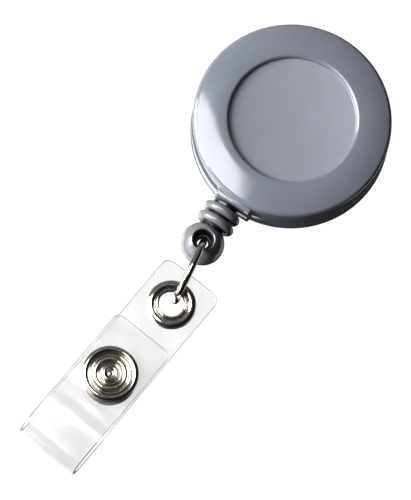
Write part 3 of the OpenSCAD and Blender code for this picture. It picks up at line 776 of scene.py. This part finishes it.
def folded_strip(name, path, width, thickness, first_r, last_r, lift=None, columns=16):
    """A strip of sheet that follows a path, with rounded corners and softened edges.

    lift gives how far the sheet stands outwards from the path, from the length run and the place across."""
    rows, total = strip_rows(path, 0.35)
    points = []
    for k, (z, v, run) in enumerate(rows):
        half = half_width(run, total, width, first_r, last_r)
        before = rows[max(k - 1, 0)]
        after = rows[min(k + 1, len(rows) - 1)]
        along = Vector((after[0] - before[0], after[1] - before[1])).normalized()
        for i in range(columns + 1):
            u = half * (2 * i / columns - 1)
            out = lift(run, u) if lift else 0
            points.append((u, v - out * along.x, z + out * along.y))
    wide = columns + 1
    faces = []
    for j in range(len(rows) - 1):
        for i in range(columns):
            a = j * wide + i
            faces.append((a, a + 1, a + wide + 1, a + wide))
    obj = new_object(name, points, faces=faces)
    solid = obj.modifiers.new("thickness", "SOLIDIFY")
    solid.thickness = thickness
    solid.offset = 0
    solid.use_even_offset = True
    bevel = obj.modifiers.new("edges", "BEVEL")
    bevel.width = thickness * 0.28
    bevel.segments = 2
    bevel.limit_method = "ANGLE"
    bevel.angle_limit = math.radians(50)
    plain_mesh(obj)
    return outward(obj)


def ease(t):
    """A smooth start and end between 0 and 1."""
    return (1 - math.cos(math.pi * t)) / 2


def strap_path():
    """The line of the sheet from the strap's tip, round the fold and up to the end of the flap."""
    steps = 10
    top, bottom = BULGE_V
    bulge = [(LOOP_BULGE * ease(i / steps), top + (bottom - top) * i / steps) for i in range(steps + 1)]
    path = [(BACK_Z, TIP_V), (BACK_Z, SNAP_V)]
    path += [(BACK_Z - out, v) for out, v in bulge]
    path += arc(BACK_Z + LAYER_GAP / 2, LOOP_V, LOOP_R, 180, 360, 24)
    path += [(FLAP_Z + out, v) for out, v in reversed(bulge)]
    path += [(FLAP_Z, FLAP_V)]
    return path


def strap_lift(run, u):
    """Waves in the sheet, and edges that curl inwards next to the fold."""
    fold = TIP_V - LOOP_V + math.pi * LOOP_R / 2 + 1
    curl = EDGE_CURL * math.exp(-((run - fold) / CURL_LENGTH) ** 2) * (2 * u / STRAP_W) ** 2
    long_wave = math.sin(0.52 * run + 0.35 * u + 0.4) * math.cos(0.42 * u + 0.2)
    short_wave = 0.6 * math.sin(0.9 * run - 0.5 * u)
    calm = min(1, run / 8) * (1 - math.exp(-((run - fold) / CALM_LENGTH) ** 2))
    return WAVE_H * calm * (long_wave + short_wave - 0.6) - curl


def round_cutter(r, low, high, matrix):
    """A rod from low to high, to cut a round hole with."""
    return moved(turned("hole", [(0, low), (r, low), (r, high), (0, high)], None, steps=64), matrix)


def strap():
    """The clear strip, with its holes, folded over at the loop."""
    obj = folded_strip("clear_strap", strap_path(), STRAP_W, STRAP_T,
                       TIP_CORNER_R, FLAP_CORNER_R, strap_lift)
    at_snap = Matrix.Translation((0, SNAP_V, 0))
    boolean(obj, round_cutter(EYELET_SEAT_R, 0, 6, Matrix()), "DIFFERENCE")
    boolean(obj, round_cutter(POST_HOLE_R, 0, 5.5, at_snap), "DIFFERENCE")
    boolean(obj, round_cutter(CAP_HOLE_R, 6, 10, at_snap), "DIFFERENCE")
    moved(obj, strap_matrix(0))
    finished(obj, None, None, "clear_vinyl", "strap_back", "strap_flap", sharp=40)
    obj.data.materials.clear()
    obj.data.materials.append(VINYL)
    obj.data.materials.append(VINYL_EDGE_SHADE)
    # Faces on the cut edges get the painted-shade sheet.
    for face in obj.data.polygons:
        face.material_index = 1 if on_cut_edge(face) else 0
    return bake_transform(obj)


def on_cut_edge(face):
    """Whether a face of the strap is on its thin edge, along a side or at either end."""
    across = abs(face.normal.dot(Vector((STRAP_RIGHT.x, 0, STRAP_RIGHT.y))))
    along = abs(face.normal.dot(Vector((STRAP_UP.x, 0, STRAP_UP.y))))
    centre = plan(face.center)
    v = (centre - EYELET).dot(STRAP_UP)
    at_tip = v > TIP_V - TIP_CORNER_R - 0.1
    at_flap_end = v > FLAP_V - FLAP_CORNER_R - 0.1 and centre.z > BACK_Z + 1
    small = face.area < 0.12 * MM ** 2
    end_face = along > 0.6 and small and abs(face.normal.y) < 0.6
    return across > 0.45 or (end_face and (at_tip or at_flap_end))


def belt_clip():
    """Spring steel strip, bent over at the top, with a nip and a turned-out lip."""
    base_z = -CLIP_T / 2
    out_z = base_z - 2 * CLIP_BEND_R
    nip_z = -(CLIP_T + 2)
    path = [(base_z, -CLIP_FOOT), (base_z, 0)] + arc(base_z - CLIP_BEND_R, CLIP_TOP, CLIP_BEND_R, 0, 180, 20)
    path += [(out_z, CLIP_BEND_Y)]
    for i in range(1, 11):
        y = CLIP_BEND_Y + (CLIP_NIP_Y - CLIP_BEND_Y) * i / 10
        path.append((out_z + (nip_z - out_z) * ease(i / 10), y))
    lip = [(0, 0), (0.15, 0.8), (0.6, 1.8), (1.4, 3.0)]
    path += flowing([(nip_z - out, CLIP_NIP_Y - down) for out, down in lip], 4)[1:]
    obj = folded_strip("belt_clip_strip", path, CLIP_W, CLIP_T, 2.5, 2.5, columns=12)
    boolean(obj, round_cutter(RIVET_R + FIT, -2, 1, Matrix()), "DIFFERENCE")
    moved(obj, UPRIGHT)
    return finished(obj, CLIP_STEEL, "reel", "clip_steel", "belt_clip", sharp=40)


# ---- Bead and ring ----
def stopper_bead():
    """One moulding: neck, two ribs and a ball, with a hole across the ball and a bore down the neck."""
    waist = NECK_R - 0.05
    root = 0.12
    half = RIB_T / 2
    profile = [(0, BEAD_TOP), (NECK_R - NECK_EDGE, BEAD_TOP), (NECK_R, BEAD_TOP - NECK_EDGE)]
    for y in RIB_Y:
        profile += [(waist, y + half + root), (waist + root, y + half)]
        profile += arc(RIB_R - half, y, half, 90, -90, 12)
        profile += [(waist + root, y - half), (waist, y - half - root)]
    meet = math.degrees(math.acos(waist / BALL_R))
    profile += arc(0, BALL.y, BALL_R, meet, -90, 36)
    standing = Matrix.Translation((BALL.x, 0, BALL.z)) @ Matrix.Rotation(math.radians(-90), 4, "X")
    bead = moved(turned("stopper_bead_body", profile, None, steps=128), standing)
    flare = arc(BALL_HOLE_R + HOLE_EDGE_R, 2.5, HOLE_EDGE_R, 180, 100, 6)
    flare += [(BALL_HOLE_R + 1.6, 3.3), (BALL_HOLE_R + 1.6, 4.2)]
    hole = [(0, -4.2)] + [(r, -h) for r, h in reversed(flare)] + flare + [(0, 4.2)]
    cutter = moved(turned("ball_hole", hole, None, steps=96), Matrix.Translation(BALL))
    boolean(bead, cutter, "DIFFERENCE")
    room_top = KNOT.y + 1.05
    room = [(0, BEAD_TOP + 1), (BORE_R, BEAD_TOP + 1), (BORE_R, room_top)]
    room += [(KNOT_ROOM_R, room_top), (KNOT_ROOM_R, BALL.y), (0, BALL.y)]
    bore = moved(turned("bead_bore", room, None, steps=48), standing)
    boolean(bead, bore, "DIFFERENCE")
    moved(outward(bead), UPRIGHT)
    return finished(bead, BEAD, "bead", "case_plastic", "stopper_bead", sharp=35)


def jump_ring():
    """Round nickel wire, its ends meeting behind."""
    sizes = {"ring_radius": RING_R, "wire_radius": RING_WIRE_R, "gap_angle": 0.03}
    obj = grow(new_object("jump_ring_wire", []), WIRE_RING, NICKEL, **sizes)
    lean = math.atan2(RING_DOWN.x, -RING_DOWN.y)
    turn = Matrix.Rotation(lean, 4, "Z") @ Matrix.Rotation(math.radians(90) + RING_TURN, 4, "Y")
    moved(outward(obj), UPRIGHT @ Matrix.Translation(RING_AT) @ turn)
    return finished(obj, None, "ring", "nickel", "jump_ring")


# ---- Eyelet and snap ----
def on_strap(name, profile, v, body, node):
    """A nickel piece turned from a closed profile, at v up the strap."""
    obj = turned(name, profile, NICKEL, closed=True)
    moved(obj, strap_matrix(v))
    return finished(obj, NICKEL, body, "nickel", node, sharp=40)


def eyelet():
    """Rolled flange with a bright inner rim, and its barrel."""
    face = BACK_FACE_Z
    hole = EYELET_HOLE_R
    outer = [(3.95, 0.02), (3.93, 0.26), (3.76, 0.52), (3.42, 0.69), (3.02, 0.69), (2.74, 0.52), (2.63, 0.3)]
    inner = [(2.6, 0.3), (2.52, 0.5), (2.36, 0.62), (2.18, 0.58), (2.03, 0.36), (hole, 0.05)]
    flange = flowing([(r, face + h) for r, h in outer])
    rim = flowing([(r, face + h) for r, h in inner])
    rear = BACK_REAR_Z
    barrel = [(hole, rear - 0.55), (hole + 0.12, rear - 0.62), (EYELET_BARREL_R, rear - 0.5)]
    profile = flange + rim + barrel + [(EYELET_BARREL_R, face)]
    on_strap("eyelet_flange", profile, 0, "strap", "strap_eyelet")


def washer():
    """Washer that the barrel is rolled over."""
    r = EYELET_SEAT_R
    z = BACK_REAR_Z
    curve = [(r, 0.36), (r + 0.3, 0.42), (3.2, 0.4), (3.8, 0.2), (3.95, 0.02)]
    profile = [(r, z)] + flowing([(x, z - h) for x, h in curve], 4) + [(3.9, z)]
    on_strap("eyelet_rear_washer", profile, 0, "strap", "eyelet_washer")


def snap_cap():
    """Broad rolled rim, a deep groove, a rippled ring and a round post with a dimple."""
    z = FLAP_FACE_Z
    rim = [(4.48, 0.03), (4.55, 0.34), (4.44, 0.66), (4.14, 0.88), (3.82, 0.87), (3.56, 0.66), (3.43, 0.36)]
    ring = [(3.3, 0.1), (3.0, 0.08), (2.9, 0.34), (2.72, 0.58), (2.4, 0.66), (2.1, 0.56), (1.94, 0.3)]
    post = [(1.8, 0.1), (1.5, 0.08), (1.38, 0.4), (1.26, 0.74), (1.02, 0.88), (0.76, 0.78)]
    dimple = [(0.6, 0.56), (0.4, 0.46), (0.2, 0.52), (0, 0.56)]
    low = FLAP_REAR_Z - 0.5
    barrel_r = CAP_BARREL_R
    inner = [(0, low), (barrel_r - 0.05, low), (barrel_r, low + 0.05)]
    inner += [(barrel_r, z + 0.02), (SNAP_R - 0.3, z + 0.02)]
    profile = inner + flowing([(r, z + h) for r, h in rim + ring + post + dimple], 5)
    obj = turned("snap_cap_rings", profile, NICKEL, steps=160)
    moved(obj, strap_matrix(SNAP_V))
    return finished(obj, NICKEL, "flap", "nickel", "snap_cap", sharp=60)


def snap_socket():
    """Cup behind the flap, with a groove for the spring ring."""
    open_r = STUD_HEAD_R + 0.15
    low = BACK_FACE_Z + 0.5
    seat = FLAP_REAR_Z - 0.35
    groove_r = SNAP_SPRING_R + SNAP_WIRE_R + 0.2
    groove_top = SNAP_SPRING_Z + SNAP_WIRE_R + FIT
    groove_low = SNAP_SPRING_Z - (SNAP_WIRE_R + FIT)
    outside = [(open_r, low), (3.2, low), (SOCKET_R - 0.25, low + 0.25), (SOCKET_R, low + 0.75)]
    top = [(SOCKET_R, FLAP_REAR_Z), (CAP_HOLE_R, FLAP_REAR_Z), (CAP_HOLE_R, seat), (open_r, seat)]
    groove = [(open_r, groove_top), (groove_r, groove_top), (groove_r, groove_low), (open_r, groove_low)]
    on_strap("snap_socket_cup", softened(outside + top + groove, 0.12), SNAP_V, "flap", "snap_socket")


def snap_stud():
    """Stud on the rear layer, with a neck under its head."""
    face = BACK_FACE_Z
    top = HEAD_TOP_Z
    foot = [(POST_HOLE_R, face), (STUD_FOOT_R, face), (STUD_FOOT_R, face + 0.35), (STUD_NECK_R, face + 0.35)]
    head = [(STUD_NECK_R, top - 0.45), (STUD_HEAD_R, top - 0.35), (STUD_HEAD_R, top - 0.15)]
    head += [(1.45, top), (POST_HOLE_R, top)]
    on_strap("snap_stud_cup", softened(foot + head, 0.1), SNAP_V, "strap", "snap_stud")


def snap_post():
    """Cap behind the rear layer, and its tube up through the stud."""
    rear = BACK_REAR_Z
    top = HEAD_TOP_Z - 0.2
    curve = [(4.25, 0.3), (3.95, 0.68), (3.55, 0.6), (3.25, 0.38), (2.4, 0.34)]
    curve += [(1.7, 0.36), (1.25, 0.6), (0.95, 0.62), (0.6, 0.3)]
    profile = [(0.6, top), (POST_TUBE_R, top), (POST_TUBE_R, rear), (4.2, rear)]
    profile += flowing([(r, rear - h) for r, h in curve], 4)
    on_strap("snap_post_cap", profile, SNAP_V, "strap", "snap_post")


def snap_spring():
    """Open ring of wire in the socket's groove."""
    sizes = {"ring_radius": SNAP_SPRING_R, "wire_radius": SNAP_WIRE_R, "gap_angle": math.radians(60)}
    ring = grow(new_object("snap_spring_wire", []), WIRE_RING, SPRING_STEEL, **sizes)
    moved(outward(ring), strap_matrix(SNAP_V) @ Matrix.Translation((0, 0, SNAP_SPRING_Z)))
    finished(ring, None, "flap", "spring_steel", "snap_spring")


def clip_rivet():
    """Domed rivet head in the clip's gap, with its shank and rolled tail."""
    head = -CLIP_T
    profile = [(0, head - 0.7)]
    profile += arc(RIVET_HEAD_R - RIVET_EDGE_R, head - 0.25, RIVET_EDGE_R, -90, 0, 6)
    profile += [(RIVET_HEAD_R, head), (RIVET_R, head), (RIVET_R, WALL), (RIVET_TAIL_R, WALL)]
    profile += [(RIVET_TAIL_R, WALL + 0.3), (1.8, WALL + 0.4), (0, WALL + 0.4)]
    obj = turned("clip_rivet_body", profile, NICKEL, steps=64)
    moved(obj, UPRIGHT)
    return finished(obj, NICKEL, "reel", "nickel", "clip_rivet", sharp=40)


# ---- Cord ----
def tube(name, path, radius, sides=12, closed=False):
    """A round tube along a path, with closed ends unless the path is closed."""
    path = [Vector(p) for p in path]
    count = len(path)
    points = []
    guide = Vector((0, 0, 1))
    for i in range(count):
        ahead = path[(i + 1) % count] if closed else path[min(i + 1, count - 1)]
        behind = path[i - 1] if closed or i > 0 else path[0]
        along = (ahead - behind).normalized()
        side = along.cross(guide).normalized()
        guide = side.cross(along).normalized()
        for k in range(sides):
            a = math.tau * k / sides
            points.append(path[i] + radius * (math.cos(a) * side + math.sin(a) * guide))
    faces = []
    for i in range(count if closed else count - 1):
        j = (i + 1) % count
        for k in range(sides):
            n = (k + 1) % sides
            faces.append((i * sides + k, i * sides + n, j * sides + n, j * sides + k))
    if not closed:
        faces += [tuple(range(sides)), tuple(range((count - 1) * sides, count * sides))]
    return outward(new_object(name, points, faces=faces))


def overhand_knot(name, at, size, radius):
    """A pulled-up knot: a small trefoil."""
    path = []
    steps = 72
    for i in range(steps):
        t = math.tau * i / steps
        x = (math.sin(t) + 2 * math.sin(2 * t)) / 3
        y = (math.cos(t) - 2 * math.cos(2 * t)) / 3
        path.append(Vector(at) + size * Vector((x, -math.sin(3 * t) / 2.2, y)))
    return tube(name, path, radius, closed=True)


def cord_winding():
    """Turns of cord on the drum, in layers."""
    sizes = {"drum_radius": DRUM_R, "cord_radius": CORD_R, "turn_pitch": 0.85, "layer_pitch": 0.72}
    turns = grow(new_object("cord_turns", []), CORD_TURNS, CORD, turns=4, layers=3, **sizes)
    moved(outward(turns), UPRIGHT @ Matrix.Translation((0, 0, MID_Z)))
    finished(turns, None, "spool", "cord", "cord_winding")


def cord_to_mouth():
    """The cord inside the case, from the winding to the mouth."""
    low, high = (plan(corner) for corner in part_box("cord_run"))
    start = Vector((low.x + CORD_R, high.y - CORD_R, MID_Z))
    bend = Vector((BALL.x, -INNER_R - 0.2, MID_Z))
    below_bend = (bend.x, bend.y - 0.12, MID_Z)
    end = (BALL.x, TAIL_TOP, MID_Z)
    path = [start, start.lerp(bend, 0.5), start.lerp(bend, 0.93), below_bend, end]
    run = tube("cord_to_mouth", flowing(path, 8), CORD_R)
    finished(moved(run, UPRIGHT), CORD, "reel", "cord", "cord_run")


def cord_to_bead():
    """The cord from the mouth into the bead."""
    steps = 24
    start = TAIL_TOP - 0.05
    fall = KNOT.y + 0.8 - TAIL_TOP
    path = [(BALL.x, start + fall * i / steps, MID_Z) for i in range(steps + 1)]
    tail = moved(tube("cord_to_bead", path, CORD_R), UPRIGHT)
    finished(tail, CORD, None, "cord", "cord_tail")
    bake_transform(tail)


def bead_knot():
    """The knot in the bead, and the tight turns of cord that hold the ring, with the strand between."""
    knot = overhand_knot("bead_knot_cord", KNOT, 0.62, 0.33)
    finished(moved(knot, UPRIGHT), CORD, "bead", "cord", "bead_knot")
    sizes = {"drum_radius": LOOP_IN_R, "cord_radius": TIGHT_CORD_R, "turn_pitch": 0.52, "layer_pitch": 0.5}
    loops = grow(new_object("ring_loops", []), CORD_TURNS, CORD, turns=3, layers=1, **sizes)
    moved(outward(loops), UPRIGHT @ Matrix.Translation(BALL))
    finished(loops, None, "bead", "cord")
    path = [(BALL.x, KNOT.y - 0.4 - 0.1 * i, BALL.z) for i in range(11)]
    strand = tube("ring_strand", path, TIGHT_CORD_R)
    finished(moved(strand, UPRIGHT), CORD, "bead", "cord")


# ---- CAD nodes that keep their shape ----
def dress(node, material):
    """Gives a CAD node a material."""
    slots = frame["nodes"][node].data.materials
    slots.clear()
    slots.append(material)


# ---- Studio ----
VIEW_FROM = Vector((0.090, -1.0, -0.237)).normalized()
VIEW_UP = Vector((-0.5225, 0, 0.8526))
VIEW_AT = Vector((-0.93, -4.5, -24.8)) * MM
VIEW_DISTANCE = 1.5
VIEW_HEIGHT = 0.080
SENSOR = 36
FLOOR_Z = -1.1
FLOOR_HALF = 4


def view_basis():
    """The camera's right, up and back directions."""
    right = VIEW_UP.cross(VIEW_FROM).normalized()
    return right, VIEW_FROM.cross(right), VIEW_FROM


def camera():
    """A long lens, turned so that the reel hangs down to the left."""
    right, up, back = view_basis()
    data = bpy.data.cameras.new("camera")
    data.sensor_width = SENSOR
    data.lens = SENSOR * VIEW_DISTANCE / VIEW_HEIGHT
    data.clip_start = 0.01
    obj = bpy.data.objects.new("camera", data)
    bpy.context.scene.collection.objects.link(obj)
    turn = Matrix((right, up, back)).transposed().to_4x4()
    obj.matrix_world = Matrix.Translation(VIEW_AT + VIEW_DISTANCE * back) @ turn
    bpy.context.scene.camera = obj


def softbox(name, place, size, power, roll=0.0, reach=0.5):
    """A soft light, placed along the camera's right, up and back, and turned by roll in its plane."""
    right, up, back = view_basis()
    side, rise, near = place
    direction = (side * right + rise * up + near * back).normalized()
    across = up.cross(direction).normalized()
    facing = Matrix((across, direction.cross(across), direction)).transposed().to_4x4()
    turn = facing @ Matrix.Rotation(roll, 4, "Z")
    data = bpy.data.lights.new(name, "AREA")
    data.shape = "RECTANGLE"
    data.size, data.size_y = size
    data.energy = power
    obj = bpy.data.objects.new(name, data)
    bpy.context.scene.collection.objects.link(obj)
    obj.matrix_world = Matrix.Translation(VIEW_AT + reach * direction) @ turn
    return obj


def floor():
    """Plain pale floor, far enough below for the cord at its full length."""
    signs = [(-1, -1), (1, -1), (1, 1), (-1, 1)]
    corners = [(FLOOR_HALF * x, FLOOR_HALF * y, FLOOR_Z) for x, y in signs]
    obj = new_object("floor", corners, faces=[(0, 1, 2, 3)])
    pale = Shader("floor_pale")
    colour = pale.mix(pale.noise(3, 2), (0.84, 0.84, 0.84, 1), (0.88, 0.88, 0.88, 1))
    pale.set(pale.bsdf, Base_Color=colour, Roughness=0.7, Emission_Color=colour, Emission_Strength=0.8)
    obj.data.materials.append(pale.material)
    obj.visible_glossy = False
    obj.visible_diffuse = False


def surroundings():
    """White behind the object, and round it a room, pale at the upper left and dark at the lower right."""
    right, up, back = view_basis()
    world = bpy.data.worlds.new("studio")
    bpy.context.scene.world = world
    world.use_nodes = True
    tree = world.node_tree
    seen = tree.nodes["Background"]
    seen.inputs["Color"].default_value = (1, 1, 1, 1)
    seen.inputs["Strength"].default_value = 1.05
    room = tree.nodes.new("ShaderNodeBackground")
    direction = tree.nodes.new("ShaderNodeTexCoord").outputs["Generated"]
    towards = tree.nodes.new("ShaderNodeVectorMath")
    towards.operation = "DOT_PRODUCT"
    towards.inputs[1].default_value = (-0.80 * right + 0.55 * up + 0.10 * back).normalized()
    tree.links.new(direction, towards.inputs[0])
    ramp = tree.nodes.new("ShaderNodeValToRGB")
    ramp.color_ramp.interpolation = "EASE"
    for stop, position, level in zip(ramp.color_ramp.elements, (0.30, 0.90), (0.015, 0.26)):
        stop.position = position
        stop.color = (level, level, level, 1)
    half = math_node(tree, "MULTIPLY", towards.outputs["Value"], 0.5)
    tree.links.new(math_node(tree, "ADD", half, 0.5), ramp.inputs[0])
    tree.links.new(ramp.outputs[0], room.inputs["Color"])
    mix = tree.nodes.new("ShaderNodeMixShader")
    path = tree.nodes.new("ShaderNodeLightPath")
    tree.links.new(path.outputs["Is Camera Ray"], mix.inputs[0])
    tree.links.new(room.outputs[0], mix.inputs[1])
    tree.links.new(seen.outputs[0], mix.inputs[2])
    tree.links.new(mix.outputs[0], tree.nodes["World Output"].inputs["Surface"])


def studio():
    """Floor, surroundings and lights. The card only shows in reflections, above all on the case."""
    floor()
    surroundings()
    softbox("card", (-0.32, 0.31, 0.89), (0.26, 0.29), 2.3, roll=-0.4).visible_diffuse = False
    softbox("key", (-0.80, 0.28, 0.53), (0.30, 0.34), 6.3)
    softbox("side", (-0.96, -0.10, 0.22), (0.30, 0.70), 2.6)
    softbox("rim", (-0.62, -0.20, -0.76), (0.40, 0.60), 1.6)
    softbox("fill", (0.72, -0.30, -0.63), (0.30, 0.50), 0.4)
    bpy.context.scene.view_settings.view_transform = "Standard"


camera()
TURNED = turned_tree()
WIRE_RING = wire_ring_tree()
CORD_TURNS = cord_turns_tree()
CASE = case_plastic()
BEAD = bead_plastic()
SPOOL = spool_plastic()
NICKEL = plated("nickel_bright", (0.44, 0.41, 0.37, 1), (0.60, 0.57, 0.52, 1), 0.05, 0.13)
CLIP_STEEL = plated("clip_steel", (0.50, 0.49, 0.47, 1), (0.66, 0.65, 0.62, 1), 0.18, 0.34,
                    streak=(1, 1, 0.06))
SPRING_STEEL = plated("spring_steel", (0.30, 0.31, 0.34, 1), (0.42, 0.43, 0.46, 1), 0.2, 0.35,
                      streak=(0.1, 1, 0.1))
CORD = cord_nylon()
VINYL = clear_sheet("clear_vinyl", 0.04, (0.80, 0.80, 0.80, 1), (0.940, 0.940, 0.935, 1))
# Painted shade on the strap's cut edges: a dark, half-clear sheet stands in for the dark that clear edges show by
# refraction.
VINYL_EDGE_SHADE = clear_sheet("clear_vinyl_edge", 0.6, (0.10, 0.10, 0.10, 1), (0.30, 0.30, 0.30, 1))

front_cover()
rear_case()
belt_clip()
clip_rivet()
stopper_bead()
jump_ring()
strap()
eyelet()
washer()
snap_cap()
snap_socket()
snap_stud()
snap_post()
snap_spring()
cord_winding()
cord_to_mouth()
cord_to_bead()
bead_knot()
dress("spool", SPOOL)
dress("spool_cover", SPOOL)
dress("power_spring", SPRING_STEEL)
dress("cord_anchor_knot", CORD)
studio()
